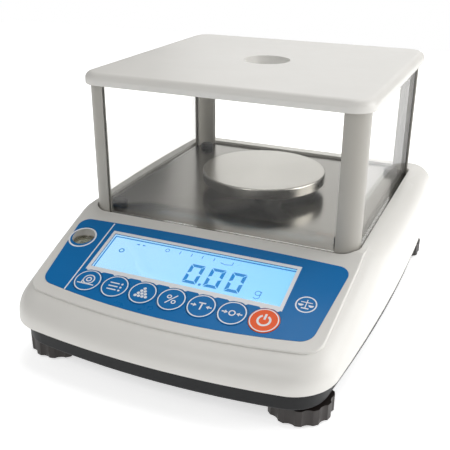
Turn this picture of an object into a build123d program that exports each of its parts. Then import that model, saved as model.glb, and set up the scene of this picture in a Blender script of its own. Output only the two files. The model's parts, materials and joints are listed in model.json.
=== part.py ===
from build123d import *
import os
from math import cos, pi, radians, sin, sqrt, tan

# A toploading laboratory balance with a glazed draft shield.
# Millimetres, +Z up, +Y to the back, +X to the operator's right.
# The origin is on the table, under the middle of the casing.

# ---- casing ----
CASE_W = 224.0            # widest, at the lower edge
CASE_D = 296.5
RIM_Z = 72.0              # top of the rim round the deck
WALL = 2.6
DRAFT = 5.0               # degrees
EDGE_R = 15.0             # shoulder rounding
FRONT_BOW = 9.0           # how far the front bulges forward of its corners
SIDE_BOW = 12.0           # how far the sides close in at the front corners
REAR_BOW = 1.5            # and at the rear ones
FRONT_CORNER_R = 28.0
REAR_CORNER_R = 20.0
BEND_R = 30.0             # soft bend from the rim into the console
SPLIT_FRONT_Z = 27.5      # parting line, rising to the back
SPLIT_REAR_Z = 38.0

# ---- lower housing ----
BASE_Z = 14.0
BASE_INSET = 3.4          # lower wall behind the casing's edge
BASE_WALL = 2.4
BASE_FLOOR = 3.0
BASE_DRAFT = 5.0
BASE_EDGE_R = 2.0
LIP_H = 3.0
LIP_GAP = 1.0             # lip to the casing's inner wall
LIP_SETBACK = 1.8         # and more, as the wall leans in towards the rear parting

# ---- deck recess ----
CONSOLE_RUN = 95.0        # front edge to recess
REAR_RIM = 23.9
SIDE_RIM = 19.2
RECESS_R = 12.0
RECESS_DEPTH = 3.0
DECK_T = 1.0
DECK_GAP = 0.5
DECK_HOLE_R = 12.0
BUFFER_R = 5.2
BUFFER_H = 4.2
BUFFER_EDGE_R = 1.5
BUFFER_INSET = 13.3       # buffer centre from the recess wall

# ---- console ----
CONSOLE_SLOPE = 17.8      # degrees
CONSOLE_DROP = 1.35       # console below the rim at the recess
PAD_H = 1.2
PAD_MARGIN = 6.9          # pad beyond the overlay, at the lower edge
PAD_OVER = 3.4            # and beyond the recess, at the top
PAD_EDGE_R = 0.9
OVERLAY_T = 0.6
OVERLAY_SINK = 0.5
OVERLAY_FIT = 0.15
OVERLAY_SIDE = 19.0       # overlay to the casing's widest point
OVERLAY_TAPER = 6.7       # how far the sides close in towards the front
OVERLAY_TOP = 8.5         # down the slope from the recess, at mid width
OVERLAY_BOTTOM = 78.1
OVERLAY_TOP_BOW = 2.0
OVERLAY_BOTTOM_BOW = 7.8
OVERLAY_TOP_R = 7.0
OVERLAY_BOTTOM_R = 9.0

# ---- display ----
LCD_SIDE = 30.7           # window to the overlay's widest point
LCD_V = 34.9              # window centre down the slope
LCD_H = 31.3
LCD_T = 2.8
LCD_SINK = 1.8
LCD_EDGE = 1.9            # glass beyond the window
LCD_FIT = 0.3
LENS_T = 0.4
FRAME_EDGE = 3.0
FRAME_LEDGE = 2.5
BACKLIGHT_T = 2.4

# ---- keys ----
KEY_NAMES = ("print", "mode", "count", "percent", "tare", "zero", "power")
KEY_V = 62.95
KEY_ROW_INSET = 5.0       # outer key centres from the window's ends
KEY_R = 8.9
KEY_GAP = 0.3
KEY_T = 1.65
KEY_PROUD = 0.45
KEY_EDGE_R = 0.36
KEY_TRAVEL = 0.4
KEY_STEM_R = 2.5
KEY_STEM_GAP = 0.6
SWITCH_W = 6.0
SWITCH_H = 3.5            # with its plunger
SWITCH_CASE_H = 2.45
PLUNGER_R = 1.75
SWITCH_GAP = 0.5
BOARD_T = 1.6
BOARD_SINK = 12.0         # display board's face below the console
BOARD_W = 142.0
BOARD_V0 = 7.0            # board's ends down the slope
BOARD_V1 = 70.0
BOARD_BOSS_R = 2.8
BOARD_SCREW_R = 1.2
BOARD_SCREW_EDGE = 3.6
BOARD_SCREW_GRIP = 5.0
BOARD_SCREW_HEAD_H = 1.6

# ---- level ----
LEVEL_X_INSET = 10.7      # level centre from the overlay's widest point
LEVEL_V = 26.3
LEVEL_R = 7.6
LEVEL_H = 9.0
LEVEL_SINK = 3.1
LEVEL_GAP = 0.3
LEVEL_LENS_T = 2.0
LEVEL_CUP_WALL = 0.8
LENS_HOLLOW_R = 40.0
BUBBLE_R = 3.0
BUBBLE_H = 1.4
BUBBLE_GAP = 0.15
BUBBLE_EDGE_R = 0.63

# ---- pan and its support ----
PAN_R = 45.0
PAN_T = 1.0
PAN_SKIRT = 7.0
PAN_TOP_Z = 85.0
PAN_EDGE_R = 1.0
SPIDER_T = 2.6
SPIDER_ARM_W = 12.0
SPIDER_GAP = 2.5          # arm tip to the pan's skirt
SPIDER_PAD_H = 1.2
SPIDER_PAD_R = 3.5
SPIDER_HUB_R = 14.0
STEM_R = 4.0
COLLAR_R = 6.5
HUB_R = 8.0
HUB_TOP = 72.0
CARRIER_TRAVEL = 1.0
TRAVEL_SPARE = 0.3
CLIP_R = 6.0
CLIP_T = 1.2
BRACKET_T = 3.0
BRACKET_W = 24.0
CELL_L = 80.0
CELL_W = 12.7
CELL_H = 22.0
CELL_BASE_H = 7.0
CELL_BASE_SIDE = 7.0      # foot beyond the cell on each side
CELL_END = 22.0           # length clamped at each end
CELL_HOLE_R = 6.5
CELL_HOLE_SPAN = 16.0
SPACER_H = 5.0            # bracket's foot on the cell's free end
CELL_SCREW_R = 2.0
CELL_SCREW_HEAD_R = 3.5
CELL_SCREW_HEAD_H = 3.5
CELL_SCREW_GRIP = 8.0
HEX_R = 1.6
HEX_DEPTH = 2.0
STOP_R = 3.0
STOP_GAP = 0.8
STOP_BASE_H = 2.0

# ---- draft shield ----
SHIELD_RISE = 84.8        # rim to the lid's lower edge
SHIELD_GAP = 1.0          # posts to the recess wall
POST_R = 11.0
POST_LEG = 13.1
POST_T = 3.4
PANE_T = 1.6
PANE_SET = 0.8            # pane behind the post's outer face
PANE_SLACK = 0.2
GROOVE_D = 4.0
PANE_FOOT = 0.3           # pane above the deck
LID_OVER = 3.2            # lid beyond the posts
LID_H = 7.5
LID_WALL = 2.4
LID_R = 14.0
LID_EDGE_R = 4.5
LID_HOLE_R = 16.2

# ---- levelling feet ----
KNOB_R = 19.2
KNOB_Z = 2.0
KNOB_TOP = 12.0
KNOB_SCALLOPS = 12
SCALLOP_R = 5.5
SCALLOP_DEPTH = 1.3
FOOT_PAD_R = 15.0
FOOT_SPIGOT_R = 6.0
FOOT_SPIGOT_H = 3.0
SPIGOT_END_GAP = 0.5
STUD_R = 4.0
STUD_TOP = 31.0
RUN_FIT = 0.05            # radial running clearance
BOSS_R = 11.0
BOSS_TOP = 34.0
FRONT_FOOT_X = 31.7       # foot centre in from the widest point
FRONT_FOOT_Y = 35.0       # and from the front
REAR_FOOT_X = 23.5
REAR_FOOT_Y = 32.2

# ---- fasteners, boards and sockets ----
SCREW_R = 1.5
SCREW_HEAD_R = 3.0
SCREW_HEAD_H = 2.4
SCREW_GRIP = 12.0
SCREW_CLEAR = 0.25
SCREW_BOSS_R = 4.2
SCREW_BOSS_LAP = 1.0      # where the two housings' bosses meet, above the lip
SCREW_RECESS = 0.6        # head under the base's lower face
SCREW_FRONT = (72.0, 22.0)   # in from the widest point and from the front
SCREW_MIDDLE = (14.0, 0.43)  # in from the widest point, and share of the depth
SCREW_REAR = (30.0, 13.0)    # in from the widest point and from the back
SHANK_LAP = 0.5           # shank inside its own head
MAIN_T = 1.6
MAIN_SIDE = 24.0          # board from the casing's widest point
MAIN_INNER = 24.0         # and from the centre line
MAIN_Y = 60.0             # board from the front and the back
STANDOFF_H = 4.0
STANDOFF_R = 3.2
STANDOFF_INSET = 6.0
PORT_Z = 26.0             # middle of the rear sockets
PORT_INSET = 4.8          # socket faces from the back
PORT_FLANGE_T = 1.6
PORT_FLANGE = 2.5         # flange beyond its opening
PORT_FIT = 0.2
PORT_CUT = 30.0           # openings through the rear wall
DC_X = 62.0
DC_BODY = 11.0
DC_R = 3.2
DC_DEPTH = 9.0
DC_BACK = 3.0
DC_PIN_R = 1.0
SERIAL_X = 20.0
SERIAL_W = 17.0
SERIAL_H = 8.4
SERIAL_SHELL_T = 0.5
SERIAL_DEPTH = 6.0
SERIAL_CORE_DEPTH = 9.0
SERIAL_PIN_R = 0.5
SERIAL_PITCH = 2.8        # pin to pin along a row
SERIAL_ROW = 1.4          # rows above and below the middle
PIN_ROOT = 1.0            # pin inside the body behind it
PIN_SHORT = 1.0           # pin tip behind the socket's face
JACK_PITCH = 25.0
JACK_R = 2.5
JACK_HOLE_R = 1.3
JACK_PROUD = 2.0          # beyond the socket's face

BIG = 400.0               # longer than anything here
OVER = 1.0                # a shape run past a face it cuts or meets

# ---- worked out ----
FRONT_Y = -CASE_D / 2
REAR_Y = CASE_D / 2
TOP_HALF_W = CASE_W / 2 - (RIM_Z - SPLIT_FRONT_Z) * tan(radians(DRAFT))
RECESS_W = CASE_W - 2 * SIDE_RIM
RECESS_Y0 = FRONT_Y + CONSOLE_RUN
RECESS_Y1 = REAR_Y - REAR_RIM
RECESS_D = RECESS_Y1 - RECESS_Y0
SHIELD_Y = (RECESS_Y0 + RECESS_Y1) / 2
RECESS_Z = RIM_Z - RECESS_DEPTH
DECK_Z = RECESS_Z + DECK_T
SPLIT_SLOPE = (SPLIT_REAR_Z - SPLIT_FRONT_Z) / CASE_D
SLOPE = radians(CONSOLE_SLOPE)
CONSOLE = Plane(
    origin=(0, RECESS_Y0, RIM_Z - CONSOLE_DROP),
    x_dir=(1, 0, 0),
    z_dir=(0, -sin(SLOPE), cos(SLOPE)),
)
OVERLAY_HALF = CASE_W / 2 - OVERLAY_SIDE
WINDOW_W = 2 * (OVERLAY_HALF - LCD_SIDE)
KEY_PITCH = (WINDOW_W - 2 * KEY_ROW_INSET) / (len(KEY_NAMES) - 1)
KEY_HOLE_R = KEY_R + KEY_GAP
LEVEL_X = -(OVERLAY_HALF - LEVEL_X_INSET)
LEVEL_Y = RECESS_Y0 - LEVEL_V * cos(SLOPE)
LEVEL_TOP = RIM_Z - CONSOLE_DROP - LEVEL_V * sin(SLOPE) - LEVEL_SINK
LID_Z = RIM_Z + SHIELD_RISE
LID_TOP = LID_Z + LID_H
POST_HALF_W = RECESS_W / 2 - SHIELD_GAP
POST_HALF_D = RECESS_D / 2 - SHIELD_GAP
POST_TOP = LID_TOP - LID_WALL
FEET = {
    "front_left": (-(CASE_W / 2 - FRONT_FOOT_X), FRONT_Y + FRONT_FOOT_Y),
    "front_right": (CASE_W / 2 - FRONT_FOOT_X, FRONT_Y + FRONT_FOOT_Y),
    "rear_left": (-(CASE_W / 2 - REAR_FOOT_X), REAR_Y - REAR_FOOT_Y),
    "rear_right": (CASE_W / 2 - REAR_FOOT_X, REAR_Y - REAR_FOOT_Y),
}
CELL_Z = BASE_Z + BASE_FLOOR + CELL_BASE_H
CELL_TOP = CELL_Z + CELL_H
BRACKET_Z = CELL_TOP + SPACER_H
SPIDER_TOP = PAN_TOP_Z - PAN_T - SPIDER_PAD_H
MAIN_Z = BASE_Z + BASE_FLOOR + STANDOFF_H
LIP_INSET = WALL + LIP_GAP + LIP_SETBACK
FLANGE_Y = REAR_Y - LIP_INSET - BASE_WALL
DISPLAY_SCREWS = [
    (side * (BOARD_W / 2 - BOARD_SCREW_EDGE), v)
    for v in (BOARD_V0 + BOARD_SCREW_EDGE, BOARD_V1 - BOARD_SCREW_EDGE)
    for side in (-1, 1)
]


def rod(radius, z0, z1, x=0.0, y=0.0):
    """An upright cylinder from z0 to z1."""
    return Pos(x, y, z0) * Cylinder(radius, z1 - z0, align=(Align.CENTER, Align.CENTER, Align.MIN))


def block(width, depth, z0, z1, x=0.0, y=0.0):
    """An upright box from z0 to z1."""
    return Pos(x, y, z0) * Box(width, depth, z1 - z0, align=(Align.CENTER, Align.CENTER, Align.MIN))


def slab(width, depth, radius, z0, z1, x=0.0, y=0.0):
    """A round-cornered plate from z0 to z1."""
    return Pos(x, y, z0) * extrude(RectangleRounded(width, depth, radius), z1 - z0)


def on_console(shape, x=0.0, down=0.0, lift=0.0):
    """Places a shape on the console, down the slope from the recess."""
    return CONSOLE.location * Pos(x, -down, lift) * shape


def split_z(y):
    """Height of the parting line at a depth."""
    return SPLIT_FRONT_Z + (y - FRONT_Y) * SPLIT_SLOPE


def above_split(lift=0.0):
    """All the space over the parting line."""
    low = SPLIT_FRONT_Z + lift - BIG * SPLIT_SLOPE
    high = SPLIT_FRONT_Z + lift + (CASE_D + BIG) * SPLIT_SLOPE
    side = Polyline(
        (FRONT_Y - BIG, low), (REAR_Y + BIG, high), (REAR_Y + BIG, BIG), (FRONT_Y - BIG, BIG), close=True
    )
    return Pos(-BIG, 0, 0) * extrude(Plane.YZ * make_face(side), 2 * BIG)


def case_outline(inset):
    """The casing's plan at its lower edge, drawn in by an inset."""
    half = CASE_W / 2 - inset
    front_y = FRONT_Y + inset
    rear_y = REAR_Y - inset
    front = (half - SIDE_BOW, front_y + FRONT_BOW)
    rear = (half - REAR_BOW, rear_y)
    mid_y = (front[1] + rear[1]) / 2
    edges = [
        ThreePointArc((-front[0], front[1]), (0, front_y), front),
        ThreePointArc(front, (half, mid_y), rear),
        Line(rear, (-rear[0], rear[1])),
        ThreePointArc((-rear[0], rear[1]), (-half, mid_y), (-front[0], front[1])),
    ]
    plan = make_face(edges)
    plan = fillet(plan.vertices().sort_by(Axis.Y)[:2], FRONT_CORNER_R - inset)
    return fillet(plan.vertices().sort_by(Axis.Y)[-2:], REAR_CORNER_R - inset)


def case_form(inset):
    """The casing's outside, or its inside when drawn in by the wall."""
    base = SPLIT_FRONT_Z - OVER
    top = RIM_Z - inset
    body = Pos(0, 0, base) * extrude(case_outline(inset), top - base, taper=DRAFT)
    drop = (inset + PAD_H) / cos(SLOPE)
    start_z = RIM_Z - CONSOLE_DROP - drop
    bend_y = RECESS_Y0 + (top - start_z) / tan(SLOPE)
    far_y = FRONT_Y - BIG
    far_z = start_z - (RECESS_Y0 - far_y) * tan(SLOPE)
    side = FilletPolyline((BIG, top), (bend_y, top), (far_y, far_z), radius=BEND_R)
    cap = Polyline((far_y, far_z), (far_y, BIG), (BIG, BIG), (BIG, top))
    over = Pos(-BIG, 0, 0) * extrude(Plane.YZ * make_face([side, cap]), 2 * BIG)
    body = body - over
    upper = [edge for edge in body.edges() if edge.center().Z > base + OVER]
    shoulder = [edge for edge in upper if is_shoulder(edge)]
    return fillet(shoulder, EDGE_R - inset)


def is_shoulder(edge):
    """Tells the rim's outer edges from the upright ones and the bends across."""
    tall = abs((edge @ 1).Z - (edge @ 0).Z) > 0.9 * edge.length
    across = abs((edge @ 1).X - (edge @ 0).X) > 1.5 * TOP_HALF_W and abs((edge @ 0).Z - (edge @ 1).Z) < 0.01
    inside = FRONT_Y + EDGE_R < edge.center().Y < REAR_Y - EDGE_R
    return not tall and not (across and inside)


def overlay_outline(grow=0.0):
    """The keypad overlay's outline, in the console's own plane."""
    top_half = OVERLAY_HALF + grow
    low_half = OVERLAY_HALF - OVERLAY_TAPER + grow
    top_v = -OVERLAY_TOP + grow
    low_v = -OVERLAY_BOTTOM - grow
    top_end = top_v - OVERLAY_TOP_BOW
    low_end = low_v + OVERLAY_BOTTOM_BOW
    edges = [
        ThreePointArc((-top_half, top_end), (0, top_v), (top_half, top_end)),
        Line((top_half, top_end), (low_half, low_end)),
        ThreePointArc((low_half, low_end), (0, low_v), (-low_half, low_end)),
        Line((-low_half, low_end), (-top_half, top_end)),
    ]
    plan = make_face(edges)
    plan = fillet(plan.vertices().sort_by(Axis.Y)[:2], OVERLAY_BOTTOM_R + grow)
    return fillet(plan.vertices().sort_by(Axis.Y)[-2:], OVERLAY_TOP_R + grow)


def console_pad():
    """The raised field that carries the overlay, running up into the rim."""
    half = RECESS_W / 2 + PAD_OVER
    low_half = OVERLAY_HALF - OVERLAY_TAPER + PAD_MARGIN
    low_v = -OVERLAY_BOTTOM + OVERLAY_BOTTOM_BOW - PAD_MARGIN
    edges = [
        Line((-half, 2 * PAD_MARGIN), (half, 2 * PAD_MARGIN)),
        Line((half, 2 * PAD_MARGIN), (half, -OVERLAY_TOP)),
        Line((half, -OVERLAY_TOP), (low_half, low_v)),
        ThreePointArc((low_half, low_v), (0, -OVERLAY_BOTTOM - PAD_MARGIN), (-low_half, low_v)),
        Line((-low_half, low_v), (-half, -OVERLAY_TOP)),
        Line((-half, -OVERLAY_TOP), (-half, 2 * PAD_MARGIN)),
    ]
    plan = make_face(edges)
    plan = fillet(plan.vertices().sort_by(Axis.Y)[:2], OVERLAY_BOTTOM_R + PAD_MARGIN / 2)
    depth = WALL + PAD_H
    pad = on_console(extrude(plan, depth), lift=-depth)
    face = pad.faces().sort_by(Axis((0, 0, 0), CONSOLE.z_dir))[-1]
    rim = [edge for edge in face.edges() if edge.center().Y < RECESS_Y0 + PAD_MARGIN]
    pad = fillet(rim, PAD_EDGE_R)
    return pad - block(2 * BIG, 2 * BIG, RIM_Z, BIG)


def screw_places():
    """Where the casing screws stand, clear of the feet and the deck's middle."""
    half = CASE_W / 2
    front = (half - SCREW_FRONT[0], FRONT_Y + SCREW_FRONT[1])
    middle = (half - SCREW_MIDDLE[0], FRONT_Y + SCREW_MIDDLE[1] * CASE_D)
    rear = (half - SCREW_REAR[0], REAR_Y - SCREW_REAR[1])
    return [(side * x, y) for x, y in (front, middle, rear) for side in (-1, 1)]


def boss_top(y):
    """Top of a casing screw boss, inside the roof above it."""
    console = RIM_Z - CONSOLE_DROP - max(0.0, RECESS_Y0 - y) * tan(SLOPE)
    return min(console, RIM_Z) - WALL


def key_x(index):
    """Place of a key across the console."""
    return (index - (len(KEY_NAMES) - 1) / 2) * KEY_PITCH


def bosses_under_console():
    """Posts on the console's inner face for the display board's screws."""
    posts = []
    for x, v in DISPLAY_SCREWS:
        post = Cylinder(BOARD_BOSS_R, BOARD_SINK - WALL, align=(Align.CENTER, Align.CENTER, Align.MIN))
        posts.append(on_console(post, x, v, -BOARD_SINK))
    return posts


def upper_housing():
    """The white casing shell, with its recess, console and openings."""
    clip = Pos(0, 0, SPLIT_FRONT_Z) * extrude(case_outline(WALL / 2), BIG)
    shell = case_form(0) + (console_pad() & clip)
    room = case_form(WALL)
    tray = slab(
        RECESS_W + 2 * WALL, RECESS_D + 2 * WALL, RECESS_R + WALL, RECESS_Z - WALL, BIG, y=SHIELD_Y
    )
    shell = shell - (room - tray)
    for x, y in screw_places():
        shell += rod(SCREW_BOSS_R, split_z(y) + LIP_H + SCREW_BOSS_LAP, boss_top(y), x, y)
    for post in bosses_under_console():
        shell += post
    level_wall = rod(
        LEVEL_R + LEVEL_GAP + WALL, LEVEL_TOP - LEVEL_H - WALL, LEVEL_TOP + LEVEL_SINK / 2, LEVEL_X, LEVEL_Y
    )
    shell += level_wall
    shell &= above_split()
    shell -= slab(RECESS_W, RECESS_D, RECESS_R, RECESS_Z, BIG, y=SHIELD_Y)
    shell -= rod(DECK_HOLE_R, 0, BIG, 0, SHIELD_Y)
    shell -= rod(LEVEL_R + LEVEL_GAP, LEVEL_TOP - LEVEL_H, BIG, LEVEL_X, LEVEL_Y)
    shell -= on_console(extrude(overlay_outline(OVERLAY_FIT), BIG), lift=-OVERLAY_SINK)
    shell -= on_console(glass_block(LCD_FIT, BIG / 4))
    for index in range(len(KEY_NAMES)):
        pocket = Cylinder(KEY_HOLE_R, BIG / 4, align=(Align.CENTER, Align.CENTER, Align.MIN))
        shell -= on_console(pocket, key_x(index), KEY_V, -(KEY_T - KEY_PROUD + KEY_TRAVEL + KEY_GAP))
        shell -= on_console(Cylinder(KEY_STEM_R + KEY_STEM_GAP, BOARD_SINK), key_x(index), KEY_V)
    for x, y in screw_places():
        shell -= rod(SCREW_R, 0, split_z(y) + LIP_H + SCREW_GRIP, x, y)
    for x, v in DISPLAY_SCREWS:
        shell -= on_console(Cylinder(BOARD_SCREW_R, 2 * (BOARD_SINK - WALL - PAD_H)), x, v, -BOARD_SINK)
    return shell


def base_form():
    """The lower housing's outside, wider towards the casing."""
    top = SPLIT_REAR_Z + OVER
    shape = extrude(case_outline(BASE_INSET), top - BASE_Z, taper=BASE_DRAFT)
    shape = Plane(origin=(0, 0, top), x_dir=(-1, 0, 0), z_dir=(0, 0, -1)).location * shape
    shape = fillet(shape.faces().sort_by(Axis.Z)[0].edges(), BASE_EDGE_R)
    return shape - above_split()


def standoff_places():
    """Corners of the main board."""
    x0 = MAIN_INNER + STANDOFF_INSET
    x1 = CASE_W / 2 - MAIN_SIDE - STANDOFF_INSET
    y1 = REAR_Y - MAIN_Y - STANDOFF_INSET
    return [(x, y) for x in (x0, x1) for y in (-y1, y1)]


def lower_housing():
    """The dark tray, its lip, foot bosses and socket openings."""
    floor_z = BASE_Z + BASE_FLOOR
    lip = Pos(0, 0, floor_z) * extrude(case_outline(LIP_INSET), BIG / 4) - above_split(LIP_H)
    room = Pos(0, 0, floor_z) * extrude(case_outline(LIP_INSET + BASE_WALL), BIG / 2)
    tray = base_form() + lip - room
    for x, y in FEET.values():
        tray += rod(BOSS_R, BASE_Z, BOSS_TOP, x, y) & base_reach()
        tray -= rod(STUD_R + RUN_FIT, 0, BIG, x, y)
    for x, y in screw_places():
        tray += rod(SCREW_BOSS_R, BASE_Z, split_z(y) + LIP_H + SCREW_BOSS_LAP, x, y)
        tray -= rod(SCREW_R + SCREW_CLEAR, 0, BIG, x, y)
        tray -= rod(SCREW_HEAD_R + SCREW_CLEAR, 0, BASE_Z + SCREW_HEAD_H + SCREW_RECESS, x, y)
    for x, y in standoff_places():
        tray += rod(STANDOFF_R, BASE_Z, MAIN_Z, x, y)
        tray -= rod(SCREW_R, floor_z, BIG, x, y)
    port_y = REAR_Y - PORT_INSET
    for width, height, x in ((DC_BODY, DC_BODY, DC_X), (SERIAL_W, SERIAL_H, SERIAL_X)):
        reach = height / 2 + PORT_FIT
        tray -= block(width + 2 * PORT_FIT, PORT_CUT, PORT_Z - reach, PORT_Z + reach, x, port_y)
    for side in (-1, 1):
        tray -= lying_rod(JACK_R, REAR_Y - PORT_CUT, REAR_Y + OVER, SERIAL_X + side * JACK_PITCH / 2)
    return tray


def base_reach():
    """All that lies inside the lower housing's lip."""
    return Pos(0, 0, BASE_Z) * extrude(case_outline(LIP_INSET), BIG / 4)


def lying_rod(radius, y0, y1, x):
    """A cylinder along Y at the rear sockets' height."""
    return Pos(x, (y0 + y1) / 2, PORT_Z) * Rot(90, 0, 0) * Cylinder(radius, y1 - y0)


def glass_block(grow, height):
    """A block over the display glass, centred on the console plane."""
    width = WINDOW_W + 2 * (LCD_EDGE + grow)
    return Pos(0, -LCD_V, 0) * Box(width, LCD_H + 2 * (LCD_EDGE + grow), height)


def console_block(width, height, top, bottom, down):
    """A block lying on the console between two depths below it."""
    shape = Box(width, height, bottom - top, align=(Align.CENTER, Align.CENTER, Align.MAX))
    return on_console(shape, down=down, lift=-top)


def overlay():
    """The printed keypad foil, open at the window, the keys and the level."""
    foil = on_console(extrude(overlay_outline(), OVERLAY_T), lift=-OVERLAY_SINK)
    foil -= on_console(Box(WINDOW_W, LCD_H, BIG / 10), down=LCD_V)
    for index in range(len(KEY_NAMES)):
        foil -= on_console(Cylinder(KEY_HOLE_R, BIG / 10), key_x(index), KEY_V)
    return foil - rod(LEVEL_R + LEVEL_GAP, 0, BIG, LEVEL_X, LEVEL_Y)


def lcd_window():
    """The clear part of the foil over the display."""
    return console_block(WINDOW_W, LCD_H, OVERLAY_SINK - LENS_T, OVERLAY_SINK, LCD_V)


def lcd_glass():
    """The display glass."""
    return on_console(glass_block(0, LCD_T), lift=-LCD_SINK - LCD_T / 2)


def backlight():
    """The lit panel behind the display glass."""
    return on_console(glass_block(0, BACKLIGHT_T), lift=-LCD_SINK - LCD_T - BACKLIGHT_T / 2)


def lcd_frame():
    """The frame that holds glass and backlight over the display board."""
    top = WALL + PAD_H
    width = WINDOW_W + 2 * (LCD_EDGE + LCD_FIT + FRAME_EDGE)
    height = LCD_H + 2 * (LCD_EDGE + LCD_FIT + FRAME_EDGE)
    frame = console_block(width, height, top, BOARD_SINK, LCD_V)
    shelf = LCD_SINK + LCD_T + BACKLIGHT_T
    frame -= console_block(WINDOW_W + 2 * LCD_EDGE, LCD_H + 2 * LCD_EDGE, 0, shelf, LCD_V)
    ledge = 2 * FRAME_LEDGE
    return frame - console_block(WINDOW_W - ledge, LCD_H - ledge, 0, 2 * BOARD_SINK, LCD_V)


def display_board():
    """The board under the console."""
    height = BOARD_V1 - BOARD_V0
    board = console_block(BOARD_W, height, BOARD_SINK, BOARD_SINK + BOARD_T, (BOARD_V0 + BOARD_V1) / 2)
    for x, v in DISPLAY_SCREWS:
        board -= on_console(Cylinder(BOARD_SCREW_R, BIG / 10), x, v, -BOARD_SINK)
    return board


def display_screws():
    """The display board's screws, heads underneath."""
    group = []
    for x, v in DISPLAY_SCREWS:
        shank = Cylinder(
            BOARD_SCREW_R, BOARD_T + BOARD_SCREW_GRIP, align=(Align.CENTER, Align.CENTER, Align.MIN)
        )
        head = Cylinder(
            2 * BOARD_SCREW_R, BOARD_SCREW_HEAD_H, align=(Align.CENTER, Align.CENTER, Align.MAX)
        )
        group.append(on_console(shank + head, x, v, -BOARD_SINK - BOARD_T))
    return Compound(children=group)


def key_switches():
    """A push switch under each key."""
    group = []
    for index in range(len(KEY_NAMES)):
        case = Box(SWITCH_W, SWITCH_W, SWITCH_CASE_H, align=(Align.CENTER, Align.CENTER, Align.MIN))
        plunger = Cylinder(PLUNGER_R, SWITCH_H, align=(Align.CENTER, Align.CENTER, Align.MIN))
        group.append(on_console(case + plunger, key_x(index), KEY_V, -BOARD_SINK))
    return Compound(children=group)


def key(index):
    """One key: a dished cap on a stem."""
    cap = Cylinder(KEY_R, KEY_T, align=(Align.CENTER, Align.CENTER, Align.MAX))
    cap = fillet(cap.edges().sort_by(Axis.Z)[-1], KEY_EDGE_R)
    stem_len = BOARD_SINK - SWITCH_H - SWITCH_GAP + KEY_PROUD
    stem = Cylinder(KEY_STEM_R, stem_len, align=(Align.CENTER, Align.CENTER, Align.MAX))
    return on_console(cap + stem, key_x(index), KEY_V, KEY_PROUD)


def level_cup():
    """The level's metal cup."""
    cup = rod(LEVEL_R, LEVEL_TOP - LEVEL_H, LEVEL_TOP, LEVEL_X, LEVEL_Y)
    return cup - rod(LEVEL_R - LEVEL_CUP_WALL, LEVEL_TOP - LEVEL_H + LEVEL_CUP_WALL, BIG, LEVEL_X, LEVEL_Y)


def level_lens():
    """The level's glass, hollowed over the bubble."""
    lens = rod(LEVEL_R - LEVEL_CUP_WALL, LEVEL_TOP - LEVEL_LENS_T, LEVEL_TOP, LEVEL_X, LEVEL_Y)
    hollow = Pos(LEVEL_X, LEVEL_Y, LEVEL_TOP - LEVEL_LENS_T / 2 - LENS_HOLLOW_R) * Sphere(LENS_HOLLOW_R)
    return lens - hollow


def level_bubble():
    """The bubble, resting under the glass."""
    centre = LEVEL_TOP - LEVEL_LENS_T / 2 - BUBBLE_GAP - BUBBLE_H / 2
    disc = rod(BUBBLE_R, centre - BUBBLE_H / 2, centre + BUBBLE_H / 2, LEVEL_X, LEVEL_Y)
    return fillet(disc.edges().filter_by(GeomType.CIRCLE), BUBBLE_EDGE_R)


def deck_plate():
    """The steel deck round the pan."""
    fit = 2 * DECK_GAP
    plate = slab(RECESS_W - fit, RECESS_D - fit, RECESS_R - DECK_GAP, RECESS_Z, DECK_Z, y=SHIELD_Y)
    plate -= rod(DECK_HOLE_R, 0, BIG, 0, SHIELD_Y)
    for x, y in buffer_places():
        plate -= rod(BUFFER_R / 2, 0, BIG, x, y)
    return plate


def deck_gasket():
    """The dark strip that fills the gap round the deck."""
    fit = 2 * DECK_GAP
    ring = slab(RECESS_W, RECESS_D, RECESS_R, RECESS_Z, DECK_Z, y=SHIELD_Y)
    return ring - slab(RECESS_W - fit, RECESS_D - fit, RECESS_R - DECK_GAP, 0, BIG, y=SHIELD_Y)


def buffer_places():
    """The four corners of the deck, inside the posts."""
    x = RECESS_W / 2 - BUFFER_INSET
    y = RECESS_D / 2 - BUFFER_INSET - POST_T
    return [(sx * x, SHIELD_Y + sy * y) for sx in (-1, 1) for sy in (-1, 1)]


def deck_buffers():
    """The rubber buffers pressed into the deck."""
    group = []
    for x, y in buffer_places():
        knob = rod(BUFFER_R, DECK_Z, DECK_Z + BUFFER_H, x, y)
        knob = fillet(knob.edges().sort_by(Axis.Z)[-1], BUFFER_EDGE_R)
        group.append(knob + rod(BUFFER_R / 2, RECESS_Z, DECK_Z + OVER, x, y))
    return Compound(children=group)


def cell_ends():
    """Middle of the cell's fixed end, at the back, and of its free end."""
    reach = (CELL_L - CELL_END) / 2
    return SHIELD_Y + reach, SHIELD_Y - reach


def load_cell():
    """The weighing bar, with its double bore."""
    bar = block(CELL_W, CELL_L, CELL_Z, CELL_TOP, 0, SHIELD_Y)
    middle = (CELL_Z + CELL_TOP) / 2
    for side in (-1, 1):
        bore = Rot(0, 90, 0) * Cylinder(CELL_HOLE_R, 2 * CELL_W)
        bar -= Pos(0, SHIELD_Y + side * CELL_HOLE_SPAN / 2, middle) * bore
    for end in cell_ends():
        for step in (-1, 1):
            bar -= rod(CELL_SCREW_R, 0, BIG, 0, end + step * CELL_END / 4)
    return bar


def cell_mount():
    """The foot under the cell's fixed end."""
    fixed, free = cell_ends()
    foot = block(CELL_W + 2 * CELL_BASE_SIDE, CELL_END, BASE_Z + BASE_FLOOR, CELL_Z, 0, fixed)
    for step in (-1, 1):
        foot -= rod(CELL_SCREW_R, CELL_Z - CELL_SCREW_GRIP, BIG, 0, fixed + step * CELL_END / 4)
    return foot


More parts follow.
